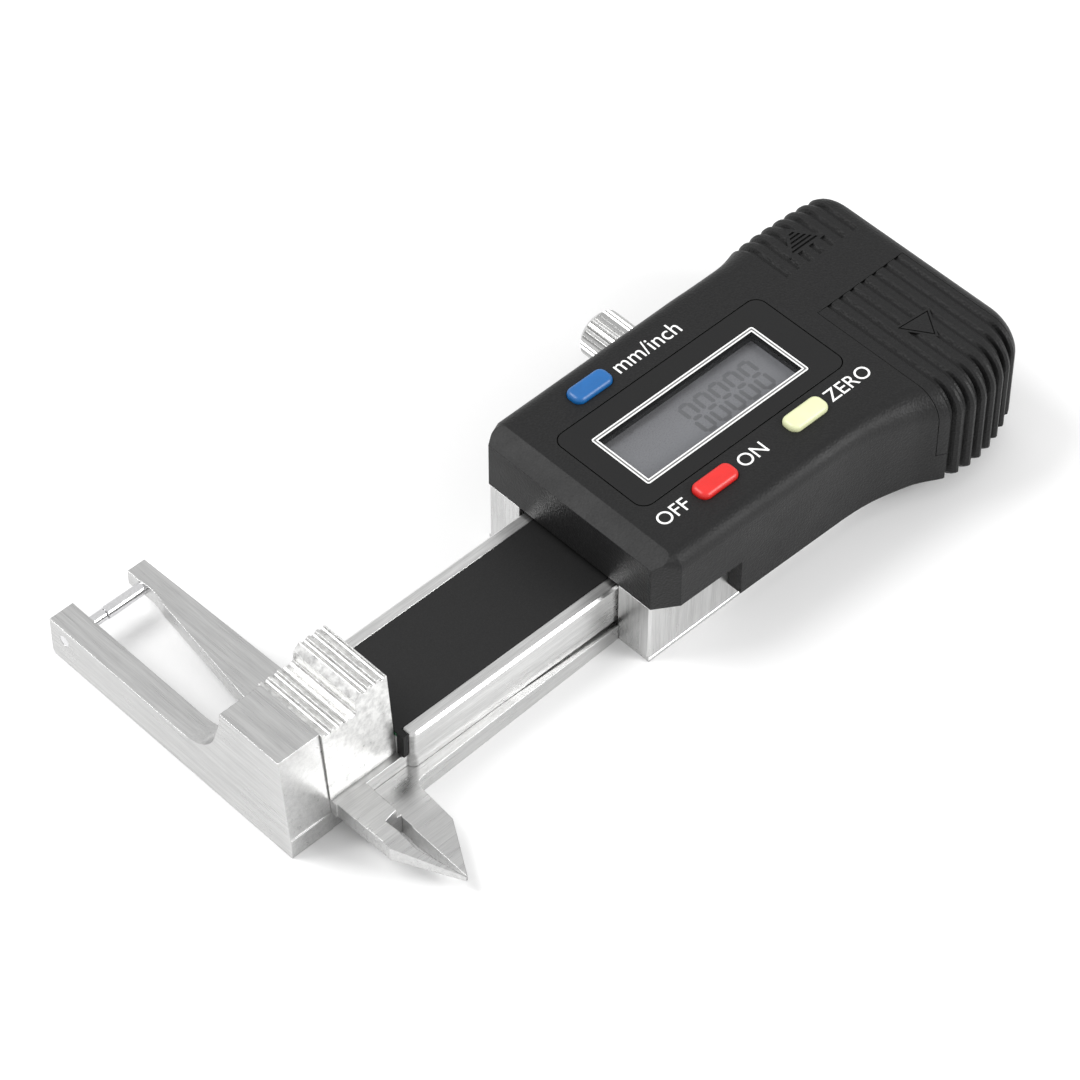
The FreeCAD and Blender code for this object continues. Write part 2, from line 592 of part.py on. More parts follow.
def housing_solid():
    """Outside of the housing and door together, ribs included."""
    lofts = [loft(NOSE, True), loft(FLARE, False), loft(ribbed_stations(), True), loft(end_stations(), True)]
    start, end = FLARE[-1][0] - 0.1, GROOVE_FIRST + GROOVE_PITCH * (GROOVE_COUNT - 1) + GROOVE[0][0]
    bare = box(start, end, DOOR_SEAM_Y, LEFT_RIB_Y, HOUSING_TOP - BARE_THICK, HOUSING_TOP)
    return cut_all(fuse_all(lofts + [bare] + arrow_pads()), [front_bevel(), front_notch()] + arrow_marks())


def cavity_section(x, low, high, chamfer):
    shoulder = CAVITY_TOP - chamfer
    points = [(-low, 0), (-low, shoulder), (-low + chamfer, CAVITY_TOP), (high - chamfer, CAVITY_TOP),
              (high, shoulder), (high, 0)]
    return Part.makePolygon([Vector(x, y, z) for y, z in points + points[:1]])


def housing_cavity():
    main = Part.makeLoft([cavity_section(*station) for station in CAVITY], True, True)
    front_end, first = BODY_FRONT + FRONT_WALL, CAVITY[0][0] + 0.5
    front = box(front_end, first, -SHELF_Y, SHELF_Y, 0, CAVITY_TOP)
    upper = box(front_end, first, -SHELF_Y - 1, SHELF_Y + 1, SHELF_TOP, CAVITY_TOP)
    over_block = box(TAB_START - 1, BODY_REAR + 0.1, -BLOCK_Y - FIT, BLOCK_Y + FIT, 0, HOUSING_BOTTOM)
    return fuse_all([main, front, upper, over_block])


def cavity_plan(inset, z0, z1):
    """Prism that fills the cavity's plan, less an inset."""
    near = [(x, -low + inset) for x, low, high, chamfer in CAVITY]
    far = [(x, high - inset) for x, low, high, chamfer in reversed(CAVITY)]
    return prism_z(near + far, z0, z1)


def door_region(gap):
    toe_x, toe_z = TOE
    region = box(DOOR_START + gap, DOOR_END - gap, -PAST_SIDES, DOOR_SEAM_Y - gap, 0, HOUSING_TOP + 1)
    return region.cut(box(DOOR_START - 1, toe_x + gap, -PAST_SIDES, PAST_SIDES, -1, toe_z + gap))


def panel_plate(grow, z0, z1):
    x0, x1, y0, y1 = PANEL
    return rounded_bar(x0 - grow, x1 + grow, y0 - grow, y1 + grow, z0, z1, PANEL_CORNER + grow)


def button_shape(centre, grow, z0, z1):
    x, y = centre
    half_long, half_wide = BUTTON_LONG / 2 + grow, BUTTON_WIDE / 2 + grow
    return rounded_bar(x - half_long, x + half_long, y - half_wide, y + half_wide, z0, z1, BUTTON_CORNER_R + grow)


def housing_shell():
    shell = housing_solid().cut(housing_cavity()).cut(door_region(0))
    bosses = [rod_z(BOSS_R, HOUSING_BOTTOM, CAVITY_TOP + 0.3, x, y) for x, y in HOUSING_SCREWS[2:]]
    bosses += [rod_z(BOSS_R, PAN_FLANGE[1] + 0.1, CAVITY_TOP + 0.3, x, y) for x, y in PAN_SCREWS]
    shell = fuse_all([shell] + bosses)
    x0, x1, y0, y1 = LENS
    ledge = LENS_LEDGE
    openings = [panel_plate(PANEL_GROOVE, HOUSING_TOP - PANEL_THICK, HOUSING_TOP + 1),
                box(x0 - FIT, x1 + FIT, y0 - FIT, y1 + FIT, HOUSING_TOP - LENS_THICK, HOUSING_TOP + 1),
                box(x0 + ledge, x1 - ledge, y0 + ledge, y1 - ledge, CAVITY_TOP - 1, HOUSING_TOP + 1)]
    openings += [button_shape(centre, BUTTON_PLAY, CAVITY_TOP - 1, HOUSING_TOP + 1)
                 for centre in BUTTONS.values()]
    openings += [screw_hole(x, y, *HOUSING_SCREW) for x, y in HOUSING_SCREWS]
    openings += [tip_hole(x, y, PAN_SCREW[1], PAN_SCREW[2]) for x, y in PAN_SCREWS]
    openings.append(rod_y(LOCK_OPENING_R, BLOCK_Y, PAST_SIDES, LOCK_X, LOCK_Z))
    return cut_all(shell, openings).removeSplitter()


def battery_door():
    """Ribbed cover, top and side in one, that slides off sideways."""
    return housing_solid().cut(housing_cavity()).common(door_region(DOOR_GAP)).removeSplitter()


def rear_pan():
    """Bottom cover of the battery end, with the seat for the cell."""
    start, end = BODY_REAR + 0.15, CAVITY[-1][0] - 0.12
    pan = box(start, end, -BLOCK_Y, BLOCK_Y, 0, PAN_FLANGE[0])
    flange = cavity_plan(0.12, *PAN_FLANGE).common(box(start, end, -30, 30, 0, 9))
    pocket = box(start + PAN_WALL, end - PAN_WALL, -BLOCK_Y + PAN_WALL, BLOCK_Y - PAN_WALL, PAN_WALL, 9)
    x, y = CELL_CENTRE
    seat_x, seat_y, rim_thick, rim_top = CELL_R + 0.8, CELL_R + 0.6, 1.4, CELL_BOTTOM + CELL_HEIGHT - 0.1
    seat = box(x - seat_x, x + seat_x, y - seat_y, y + seat_y, 1, CELL_BOTTOM - CONTACT_THICK)
    rim = box(x - seat_x, x + seat_x, y + seat_y - rim_thick, y + seat_y, 1, rim_top)
    rim = rim.cut(rod_z(CELL_R + 0.15, 2, rim_top + 1, x, y))
    screws = [screw_hole(px, py, *PAN_SCREW) for px, py in PAN_SCREWS]
    posts = [rod_z(BOSS_R, 1, PAN_FLANGE[1], px, py) for px, py in PAN_SCREWS]
    return cut_all(fuse_all([pan.fuse(flange).cut(pocket), seat, rim] + posts), screws).removeSplitter()


def pan_screws():
    return [screw_up(x, y, *PAN_SCREW) for x, y in PAN_SCREWS]


# ---- display, keys and electronics ---------------------------------------------------------
def display_panel():
    """Front panel sheet let into the housing, with the window cut out."""
    x0, x1, y0, y1 = LENS
    window = box(x0 - FIT, x1 + FIT, y0 - FIT, y1 + FIT, HOUSING_TOP - 2, HOUSING_TOP + 1)
    return panel_plate(0, HOUSING_TOP - PANEL_THICK, HOUSING_TOP).cut(window)


def lcd_window():
    x0, x1, y0, y1 = LENS
    return box(x0, x1, y0, y1, HOUSING_TOP - LENS_THICK, HOUSING_TOP - 0.02)


def lcd_module():
    x0, x1, y0, y1 = LCD
    return box(x0, x1, y0, y1, LCD_BOTTOM, LCD_TOP)


def lcd_holder():
    """Plastic frame between the circuit board and the display glass."""
    x0, x1, y0, y1 = LCD
    frame = box(x0, x1, y0, y1, BOARD_TOP, LCD_BOTTOM)
    slots = [box(x0 + 1.5, x1 - 1.5, y - 0.8, y + 0.8, 10, 20) for y in (y0 + 2.0, y1 - 2.0)]
    middle = box(x0 + 2.5, x1 - 2.5, y0 + 3.8, y1 - 3.8, 10, 20)
    return cut_all(frame, slots + [middle])


def zebra_strips():
    """Rubber connectors between the board and the display glass."""
    x0, x1, y0, y1 = LCD
    return [box(x0 + 1.6, x1 - 1.6, y - 0.75, y + 0.75, BOARD_TOP, LCD_BOTTOM) for y in (y0 + 2.0, y1 - 2.0)]


def circuit_board():
    x0, x1, y0, y1 = BOARD
    return rounded_bar(x0, x1, y0, y1, BOARD_BOTTOM, BOARD_TOP, 0.8)


def measuring_chip():
    """Chip of the measuring circuit, on the free end of the board."""
    x, y, half = 75.0, 10.2, 2.4
    return box(x - half, x + half, y - half, y + half, BOARD_TOP, BOARD_TOP + 1.0)


def key_domes():
    return [Part.makeCone(1.9, 1.2, DOME_TOP - BOARD_TOP, Vector(x, y, BOARD_TOP), Vector(0, 0, 1))
            for x, y in BUTTONS.values()]


def button(centre):
    """Pill-shaped key with a crowned top, a retaining flange and a stem to its dome."""
    cap = button_shape(centre, 0, CAVITY_TOP - 1.2, BUTTON_TOP)
    cap = cap.makeFillet(BUTTON_CROWN, edges_at_height(cap, BUTTON_TOP))
    flange = button_shape(centre, BUTTON_FLANGE, CAVITY_TOP - 1.2, CAVITY_TOP - 0.05)
    x, y = centre
    stem = rod_z(1.1, DOME_TOP + BUTTON_TRAVEL + FIT, CAVITY_TOP - 1.0, x, y)
    return fuse_all([cap, flange, stem])


def battery_cell():
    x, y = CELL_CENTRE
    can = rod_z(CELL_R, CELL_BOTTOM, CELL_BOTTOM + CELL_HEIGHT, x, y)
    return can.makeFillet(0.5, edges_at_height(can, CELL_BOTTOM + CELL_HEIGHT))


def lower_contact():
    x, y = CELL_CENTRE
    return rod_z(3.6, CELL_BOTTOM - CONTACT_THICK, CELL_BOTTOM - 0.02, x, y)


def upper_contact():
    """Spring strip over the edge of the cell, with its leg down the back of the seat."""
    x, y = CELL_CENTRE
    half_wide, back, leg_thick, cell_top = 1.6, y + 6.9, 0.35, CELL_BOTTOM + CELL_HEIGHT
    tongue = box(x - half_wide, x + half_wide, y + 1.0, back, cell_top + 0.02, cell_top + CONTACT_THICK)
    leg = box(x - half_wide, x + half_wide, back - leg_thick, back, 2.0, cell_top + CONTACT_THICK)
    return tongue.fuse(leg).removeSplitter()


# ---- lock screw ---------------------------------------------------------------------------
def lock_stem():
    stem = rod_y(STEM_R, CHANNEL_POS_Y + 0.03, KNOB_OUTER_Y - 1.8, LOCK_X, LOCK_Z)
    rim = [e for e in stem.Edges if e.BoundBox.YMax < CHANNEL_POS_Y + 0.1]
    return stem.makeChamfer(0.3, rim)


def lock_knob():
    """Thumb knob with straight knurling and a bevelled end."""
    knob = rod_y(KNOB_R, KNOB_INNER_Y, KNOB_OUTER_Y, LOCK_X, LOCK_Z)
    ends = [e for e in knob.Edges if e.BoundBox.YLength < 1e-6]
    knob = knob.makeChamfer(0.55, ends)
    depth = 0.26
    half = KNOB_R * math.sin(math.pi / KNURLS) * 0.72
    cuts = []
    for i in range(KNURLS):
        cut = prism_y([(LOCK_X - half, LOCK_Z + KNOB_R + 0.1), (LOCK_X + half, LOCK_Z + KNOB_R + 0.1),
                       (LOCK_X, LOCK_Z + KNOB_R - depth)], KNOB_INNER_Y - 1, KNOB_OUTER_Y + 1)
        cut.rotate(Vector(LOCK_X, 0, LOCK_Z), Vector(0, 1, 0), 360.0 * i / KNURLS)
        cuts.append(cut)
    knob = knob.cut(Part.makeCompound(cuts))
    bore = rod_y(STEM_R + 0.03, KNOB_INNER_Y - 1, KNOB_OUTER_Y - 1.7, LOCK_X, LOCK_Z)
    return knob.cut(bore)


# ---- assembly -----------------------------------------------------------------------------
def nodes():
    parts = {
        "base_bar": base_bar(), "rear_arm": rear_arm(), "rear_arm_screws": rear_arm_screws(),
        "rear_pin": pin(PIN_SEAM + 0.02, PIN_REAR, PIN_R, PIN_SEAM + 0.02),
        "body_block": body_block(), "back_plate": back_plate(),
        "housing_screws": housing_screws(), "base_screws": base_screws(), "gib_strip": gib_strip(),
        "gib_screws": gib_screws(), "housing_shell": housing_shell(), "rear_pan": rear_pan(),
        "pan_screws": pan_screws(), "display_panel": display_panel(), "lcd_window": lcd_window(),
        "lcd_module": lcd_module(), "lcd_holder": lcd_holder(), "zebra_strips": zebra_strips(),
        "circuit_board": circuit_board(), "measuring_chip": measuring_chip(), "key_domes": key_domes(),
        "battery_cell": battery_cell(), "lower_contact": lower_contact(), "upper_contact": upper_contact(),
        "slide_beam": slide_beam(), "scale_board": scale_board(), "scale_strip": scale_strip(),
        "stop_screw": stop_screw(), "thumb_block": thumb_block(), "thumb_screws": thumb_screws(),
        "front_jaw": front_jaw(), "jaw_screws": jaw_screws(),
        "front_pin": pin(0.03, PIN_SEAM, FRONT_PIN_R, PIN_SEAM),
        "battery_door": battery_door(), "lock_stem": lock_stem(), "lock_knob": lock_knob(),
    }
    for name, centre in BUTTONS.items():
        parts[name] = button(centre)
    return parts


def main():
    os.makedirs("parts", exist_ok=True)
    for name, made in nodes().items():
        shape = Part.makeCompound(made) if isinstance(made, list) else made
        shape.translate(-ORIGIN)
        solids = shape.Solids
        print(name, len(solids), "solids, valid", shape.isValid(), "volume", round(shape.Volume, 2))
        if not isinstance(made, list) and len(solids) == 1:
            shape = solids[0]
        shape.exportStep("parts/" + name + ".step")


main()
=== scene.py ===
import math

import bmesh
import bpy
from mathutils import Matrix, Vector


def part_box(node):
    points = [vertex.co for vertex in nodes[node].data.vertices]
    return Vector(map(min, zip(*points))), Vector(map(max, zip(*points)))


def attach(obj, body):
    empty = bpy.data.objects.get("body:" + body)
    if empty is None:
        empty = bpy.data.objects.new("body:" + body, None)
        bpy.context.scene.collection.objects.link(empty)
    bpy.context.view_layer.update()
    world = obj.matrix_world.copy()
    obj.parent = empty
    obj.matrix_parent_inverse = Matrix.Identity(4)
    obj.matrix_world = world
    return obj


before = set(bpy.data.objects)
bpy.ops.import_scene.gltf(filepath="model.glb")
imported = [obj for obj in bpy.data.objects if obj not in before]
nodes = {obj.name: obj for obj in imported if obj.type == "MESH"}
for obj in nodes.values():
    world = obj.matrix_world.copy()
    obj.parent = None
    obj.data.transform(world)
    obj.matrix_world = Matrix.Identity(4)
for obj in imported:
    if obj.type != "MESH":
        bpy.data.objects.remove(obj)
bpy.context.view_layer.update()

# Looks of the tread gauge. Metres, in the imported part's frame: +X runs from the jaws to the battery
# end, +Y to the pin arms, +Z out of the display, and the gauge lies on z = 0.

MM = 0.001
MICRON = 0.000001


# ---- node helpers -------------------------------------------------------------------------
def new_material(name):
    material = bpy.data.materials.new(name)
    material.use_nodes = True
    tree = material.node_tree
    return material, tree, tree.nodes["Principled BSDF"]


def add(tree, kind, **values):
    """One shader node, with its inputs set by name (spaces written as underscores)."""
    node = tree.nodes.new(kind)
    for key, value in values.items():
        node.inputs[key.replace("_", " ")].default_value = value
    return node


def feed(tree, node, **sources):
    """Links into a node's inputs, by name (spaces written as underscores)."""
    for key, source in sources.items():
        tree.links.new(source, node.inputs[key.replace("_", " ")])


def calculate(tree, operation, *terms):
    """Math node whose terms are sockets or numbers."""
    node = tree.nodes.new("ShaderNodeMath")
    node.operation = operation
    for place, term in zip(node.inputs, terms):
        if isinstance(term, bpy.types.NodeSocket):
            tree.links.new(term, place)
        else:
            place.default_value = term
    return node.outputs["Value"]


def position(tree, axis):
    """Object coordinate along one axis."""
    coords = tree.nodes.new("ShaderNodeTexCoord")
    split = tree.nodes.new("ShaderNodeSeparateXYZ")
    feed(tree, split, Vector=coords.outputs["Object"])
    return split.outputs[axis]


def stretched(tree, density):
    """Object coordinates scaled to a density in features per metre, one for all axes or one for each."""
    scale = density if isinstance(density, tuple) else (density, density, density)
    coords = tree.nodes.new("ShaderNodeTexCoord")
    mapping = add(tree, "ShaderNodeMapping", Scale=scale)
    feed(tree, mapping, Vector=coords.outputs["Object"])
    return mapping.outputs["Vector"]


def drawn_out(axis, across, lengthwise):
    """Densities of a texture that is drawn out along one axis."""
    return tuple(lengthwise if each == axis else across for each in "xyz")


def noise(tree, density, detail=4.0, roughness=0.6):
    node = add(tree, "ShaderNodeTexNoise", Scale=1.0, Detail=detail, Roughness=roughness)
    feed(tree, node, Vector=stretched(tree, density))
    return node.outputs["Fac"]


def pits(tree, density):
    """Distance to the middle of the nearest of many scattered pits."""
    node = add(tree, "ShaderNodeTexVoronoi", Scale=1.0, Randomness=1.0)
    feed(tree, node, Vector=stretched(tree, density))
    return node.outputs["Distance"]


def ranged(tree, value, low, high, out_low, out_high):
    node = add(tree, "ShaderNodeMapRange", From_Min=low, From_Max=high, To_Min=out_low, To_Max=out_high)
    feed(tree, node, Value=value)
    return node.outputs["Result"]


def spread(tree, value, low, high):
    """A noise, which is mostly between 0.3 and 0.7, spread from low to high."""
    return ranged(tree, value, 0.3, 0.7, low, high)


def ramp(tree, value, stops):
    node = tree.nodes.new("ShaderNodeValToRGB")
    elements = node.color_ramp.elements
    while len(elements) < len(stops):
        elements.new(0.5)
    for element, (place, color) in zip(elements, stops):
        element.position = place
        element.color = (*color, 1.0)
    feed(tree, node, Fac=value)
    return node.outputs["Color"]


def darker(color, share):
    return tuple(channel * share for channel in color)


def bump(tree, layers, edge=0.0):
    """Chain of bump nodes, one for each (height socket, distance in metres, strength).

    With an edge radius, sharp edges are shaded as if they were broken by that much."""
    normal = None
    if edge:
        rounding = add(tree, "ShaderNodeBevel", Radius=edge)
        rounding.samples = 4
        normal = rounding.outputs["Normal"]
    for height, distance, strength in layers:
        node = add(tree, "ShaderNodeBump", Strength=strength, Distance=distance)
        feed(tree, node, Height=height)
        if normal is not None:
            feed(tree, node, Normal=normal)
        normal = node.outputs["Normal"]
    return normal


def groove_shaded(tree, color, reach, darkest):
    """The color with painted shade, darker down in grooves narrower than reach."""
    hollow = add(tree, "ShaderNodeAmbientOcclusion", Distance=reach)
    hollow.samples = 6
    mix = tree.nodes.new("ShaderNodeVectorMath")
    mix.operation = "SCALE"
    tree.links.new(color, mix.inputs[0])
    feed(tree, mix, Scale=ranged(tree, hollow.outputs["AO"], 0.4, 0.96, darkest, 1.0))
    return mix.outputs["Vector"]


# ---- materials ----------------------------------------------------------------------------
STEEL_EDGE, THUMB_EDGE, PLASTIC_EDGE = 0.16 * MM, 0.14 * MM, 0.07 * MM
# Widths of grooves that get painted shade.
THUMB_GROOVE, PLASTIC_GROOVE = 0.9 * MM, 1.1 * MM


def brushed_steel(name, axis, light=(0.66, 0.66, 0.655), dark=(0.52, 0.52, 0.518), bright_from=None):
    """Ground steel whose hairlines run along one axis, with a painted highlight that makes it brighter beyond
    bright_from in x.
    """
    material, tree, shader = new_material(name)
    lines = noise(tree, drawn_out(axis, 9000.0, 260.0), 5.0, 0.65)
    broad = noise(tree, drawn_out(axis, 1700.0, 60.0), 3.0)
    cloud = noise(tree, 130.0, 3.0)
    line_share, broad_share, cloud_share = 0.55, 0.45, 0.5
    streaks = calculate(tree, "MULTIPLY", broad, broad_share)
    shade = calculate(tree, "MULTIPLY_ADD", lines, line_share, streaks)
    stops = [(0.36, dark), (0.60, light)]
    # Painted highlight: beyond bright_from the steel is lifted towards a near-white stop, so that part looks
    # more brightly lit.
    if bright_from is not None:
        painted_highlight = ranged(tree, position(tree, "X"), bright_from, bright_from + MM, 0.0, 0.13)
        shade = calculate(tree, "ADD", painted_highlight, shade)
        stops.append((0.85, (0.93, 0.93, 0.925)))
    smear = calculate(tree, "MULTIPLY_ADD", cloud, cloud_share, streaks)
    normal = bump(tree, [(lines, 10 * MICRON, 0.35), (broad, 14 * MICRON, 0.25)], STEEL_EDGE)
    feed(tree, shader, Base_Color=ramp(tree, shade, stops), Roughness=spread(tree, smear, 0.24, 0.38),
         Normal=normal)
    shader.inputs["Metallic"].default_value = 1.0
    return material


def milled_steel(name):
    """Bright milled metal with casting pits and painted shade in its grooves, for the thumb block."""
    material, tree, shader = new_material(name)
    cloud = noise(tree, 900.0, 6.0, 0.65)
    pit_depth = ranged(tree, pits(tree, drawn_out("y", 2100.0, 1500.0)), 0.0, 0.22, 0.0, 1.0)
    color = ramp(tree, cloud, [(0.35, (0.55, 0.55, 0.545)), (0.6, (0.82, 0.82, 0.81))])
    normal = bump(tree, [(cloud, 40 * MICRON, 0.45), (pit_depth, 30 * MICRON, 0.4)], THUMB_EDGE)
    # Painted shade: the colour is darkened down in the thumb block's grooves.
    feed(tree, shader, Base_Color=groove_shaded(tree, color, THUMB_GROOVE, 0.30),
         Roughness=spread(tree, cloud, 0.26, 0.45), Normal=normal)
    shader.inputs["Metallic"].default_value = 1.0
    return material


def polished_metal(name, color, rough=0.09, scratch=0.25):
    """Smooth metal with fine marks, from rough to a little rougher."""
    material, tree, shader = new_material(name)
    marks = noise(tree, drawn_out("y", 2500.0, 6000.0))
    stops = [(0.35, darker(color, 0.88)), (0.65, color)]
    feed(tree, shader, Base_Color=ramp(tree, marks, stops),
         Roughness=spread(tree, marks, rough, rough + 0.12),
         Normal=bump(tree, [(marks, 6 * MICRON, scratch)]))
    shader.inputs["Metallic"].default_value = 1.0
    return material


def moulded_plastic(name, color, light, rough=(0.42, 0.56), grain=3900.0, depth=60 * MICRON, strength=0.6):
    """Injection moulded plastic with a spark-eroded grain and painted shade in narrow grooves."""
    material, tree, shader = new_material(name)
    grains = noise(tree, grain, 3.0, 0.7)
    cloud = noise(tree, 95.0)
    tone = ramp(tree, grains, [(0.38, color), (0.68, light)])
    layers = [(pits(tree, grain * 0.8), depth, strength), (grains, depth * 0.7, strength)]
    # Painted shade: the tone is darkened down in narrow grooves.
    feed(tree, shader, Base_Color=groove_shaded(tree, tone, PLASTIC_GROOVE, 0.12),
         Roughness=spread(tree, cloud, *rough), Normal=bump(tree, layers, PLASTIC_EDGE))
    shader.inputs["Specular IOR Level"].default_value = 0.28
    return material


def satin(name, color):
    """Smooth coloured key plastic, slightly mottled."""
    material, tree, shader = new_material(name)
    cloud = noise(tree, 420.0, 5.0)
    fine = noise(tree, 7000.0, 3.0)
    stops = [(0.3, darker(color, 0.86)), (0.7, color)]
    feed(tree, shader, Base_Color=ramp(tree, cloud, stops), Roughness=spread(tree, fine, 0.33, 0.46),
         Normal=bump(tree, [(fine, 12 * MICRON, 0.35)]))
    shader.inputs["Coat Weight"].default_value = 0.15
    shader.inputs["Coat Roughness"].default_value = 0.25
    return material


def printed_ink(name, color):
    material, tree, shader = new_material(name)
    fine = noise(tree, 6000.0, 3.0)
    stops = [(0.35, darker(color, 0.93)), (0.65, color)]
    feed(tree, shader, Base_Color=ramp(tree, fine, stops), Roughness=spread(tree, fine, 0.4, 0.55))
    return material


def clear_acrylic(name):
    material, tree, shader = new_material(name)
    haze = noise(tree, 300.0, 3.0)
    stops = [(0.3, (0.05, 0.052, 0.055)), (0.7, (0.07, 0.072, 0.075))]
    feed(tree, shader, Base_Color=ramp(tree, haze, stops), Roughness=spread(tree, haze, 0.02, 0.06))
    shader.inputs["IOR"].default_value = 1.46
    shader.inputs["Alpha"].default_value = 0.13
    return material


def display_glass(name):
    """Grey reflective display with a painted shadow, darker towards +Y where the window's edge shades it."""
    material, tree, shader = new_material(name)
    low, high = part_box("lcd_module")
    across = ranged(tree, position(tree, "Y"), low.y, high.y, 0.0, 1.0)
    cloud = noise(tree, 70.0, 3.0)
    fine = noise(tree, 5000.0, 2.0)
    shade = calculate(tree, "MULTIPLY_ADD", cloud, 0.35, across)
    # The darker stops towards +Y paint the shadow of the window's edge onto the display.
    stops = [(0.15, (0.275, 0.283, 0.303)), (0.95, (0.215, 0.218, 0.231)), (1.0, (0.17, 0.17, 0.178))]
    feed(tree, shader, Base_Color=ramp(tree, shade, stops), Roughness=spread(tree, fine, 0.24, 0.34))
    return material


def circuit_green(name):
    """Solder mask with paler lines where tracks run under it."""
    material, tree, shader = new_material(name)
    tracks = noise(tree, drawn_out("x", 900.0, 260.0), 2.0)
    mask, track = (0.012, 0.085, 0.035), (0.03, 0.17, 0.07)
    stops = [(0.46, mask), (0.5, track), (0.54, mask)]
    feed(tree, shader, Base_Color=ramp(tree, tracks, stops),
         Roughness=ranged(tree, tracks, 0.4, 0.6, 0.25, 0.4),
         Normal=bump(tree, [(tracks, 30 * MICRON, 0.4)]))
    return material


# ---- CAD pieces ---------------------------------------------------------------------------
def dress(material, *names):
    for name in names:
        for place in nodes[name].material_slots:
            place.material = material


dress(brushed_steel("steel_along_x", "x"), "base_bar", "back_plate")
dress(brushed_steel("steel_along_y", "y"), "front_jaw", "rear_arm")
dress(brushed_steel("steel_along_z", "z", light=(0.70, 0.70, 0.696), dark=(0.53, 0.53, 0.527)), "body_block")
# The rails, beyond the scale strip's start, get a painted highlight that makes them brighter than the plate.
dress(brushed_steel("steel_rails", "x", bright_from=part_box("scale_strip")[0].x), "slide_beam")
dress(milled_steel("milled_thumb"), "thumb_block")
dress(polished_metal("pin_polish", (0.86, 0.86, 0.87), 0.06), "rear_pin", "front_pin")
dress(polished_metal("knob_plating", (0.56, 0.56, 0.555), 0.15, 0.5), "lock_knob")
dress(polished_metal("screw_metal", (0.50, 0.50, 0.49), 0.25, 0.5), "rear_arm_screws", "housing_screws",
      "base_screws", "gib_screws", "pan_screws", "thumb_screws", "jaw_screws", "stop_screw", "lock_stem")
dress(polished_metal("gib_brass", (0.72, 0.55, 0.27), 0.25, 0.5), "gib_strip")
dress(polished_metal("cell_can", (0.74, 0.74, 0.73), 0.16, 0.4), "battery_cell")
dress(polished_metal("contact_strip", (0.78, 0.75, 0.66), 0.18, 0.4), "lower_contact", "upper_contact")
dress(moulded_plastic("housing_black", (0.006, 0.006, 0.0062), (0.012, 0.012, 0.0122)),
      "housing_shell", "battery_door", "rear_pan")
dress(moulded_plastic("panel_black", (0.007, 0.007, 0.0072), (0.010, 0.010, 0.0102), rough=(0.36, 0.45),
                      grain=8000.0, depth=10 * MICRON, strength=0.3), "display_panel")
dress(moulded_plastic("strip_black", (0.008, 0.008, 0.0082), (0.013, 0.013, 0.0132), rough=(0.5, 0.62),
                      grain=7000.0, depth=10 * MICRON, strength=0.4), "scale_strip")
dress(moulded_plastic("holder_white", (0.62, 0.62, 0.6), (0.7, 0.7, 0.68)), "lcd_holder")
dress(moulded_plastic("connector_grey", (0.2, 0.21, 0.22), (0.3, 0.31, 0.32)), "zebra_strips", "key_domes")
dress(moulded_plastic("chip_epoxy", (0.012, 0.012, 0.012), (0.02, 0.02, 0.02)), "measuring_chip")
dress(circuit_green("board_mask"), "circuit_board", "scale_board")
dress(display_glass("display_grey"), "lcd_module")
dress(clear_acrylic("window_acrylic"), "lcd_window")
dress(satin("key_blue", (0.004, 0.118, 0.37)), "unit_button")
dress(satin("key_red", (0.70, 0.016, 0.013)), "power_button")
dress(satin("key_cream", (0.73, 0.76, 0.46)), "zero_button")


# ---- drawn pieces -------------------------------------------------------------------------
def linked(name, data):
    """A new object in the scene."""
    piece = bpy.data.objects.new(name, data)
    bpy.context.scene.collection.objects.link(piece)
    return piece


def printed(piece, material):
    """One material and slot for a piece drawn on the fixed body."""
    piece.data.materials.clear()
    piece.data.materials.append(material)
    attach(piece, "gauge_body")


def mesh_piece(name, build, material):
    """A new mesh made by build(bm), drawn on the fixed body."""
    mesh = bpy.data.meshes.new(name)
    bm = bmesh.new()
    build(bm)
    bmesh.ops.recalc_face_normals(bm, faces=bm.faces)
    bm.to_mesh(mesh)
    bm.free()
    printed(linked(name, mesh), material)


def slab(bm, outline, z0, z1):
    """Closed outline in x-y raised from z0 to z1."""
    lower = [bm.verts.new((x, y, z0)) for x, y in outline]
    upper = [bm.verts.new((x, y, z1)) for x, y in outline]
    bm.faces.new(lower)
    bm.faces.new(upper)
    for i in range(len(outline)):
        j = (i + 1) % len(outline)
        bm.faces.new((lower[i], lower[j], upper[j], upper[i]))


def round_rectangle(x0, x1, y0, y1, radius):
    """Outline with each corner as an arc in equal steps."""
    steps = 6
    points = []
    for cx, cy, start in ((x1 - radius, y1 - radius, 0), (x0 + radius, y1 - radius, 90),
                          (x0 + radius, y0 + radius, 180), (x1 - radius, y0 + radius, 270)):
        for i in range(steps + 1):
            angle = math.radians(start + 90 * i / steps)
            points.append((cx + radius * math.cos(angle), cy + radius * math.sin(angle)))
    return points


def ring(bm, rectangle, radius, width, z0, z1):
    """Rectangular band with rounded corners."""
    x0, x1, y0, y1 = rectangle
    outer = round_rectangle(x0, x1, y0, y1, radius)
    inner_radius = max(radius - width, radius * 0.3)
    inner = round_rectangle(x0 + width, x1 - width, y0 + width, y1 - width, inner_radius)
    loops = [[bm.verts.new((x, y, z)) for x, y in points] for points, z in
             ((outer, z0), (outer, z1), (inner, z1), (inner, z0))]
    count = len(outer)
    for a, b in zip(loops, loops[1:] + loops[:1]):
        for i in range(count):
            j = (i + 1) % count
            bm.faces.new((a[i], a[j], b[j], b[i]))


def shrunk(rectangle, by):
    x0, x1, y0, y1 = rectangle
    return (x0 + by, x1 - by, y0 + by, y1 - by)


face_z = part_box("housing_shell")[1].z
white_ink = printed_ink("white_ink", (0.88, 0.88, 0.87))
grey_ink = printed_ink("grey_ink", (0.16, 0.16, 0.16))
window_low, window_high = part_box("lcd_window")
window = (window_low.x, window_high.x, window_low.y, window_high.y)

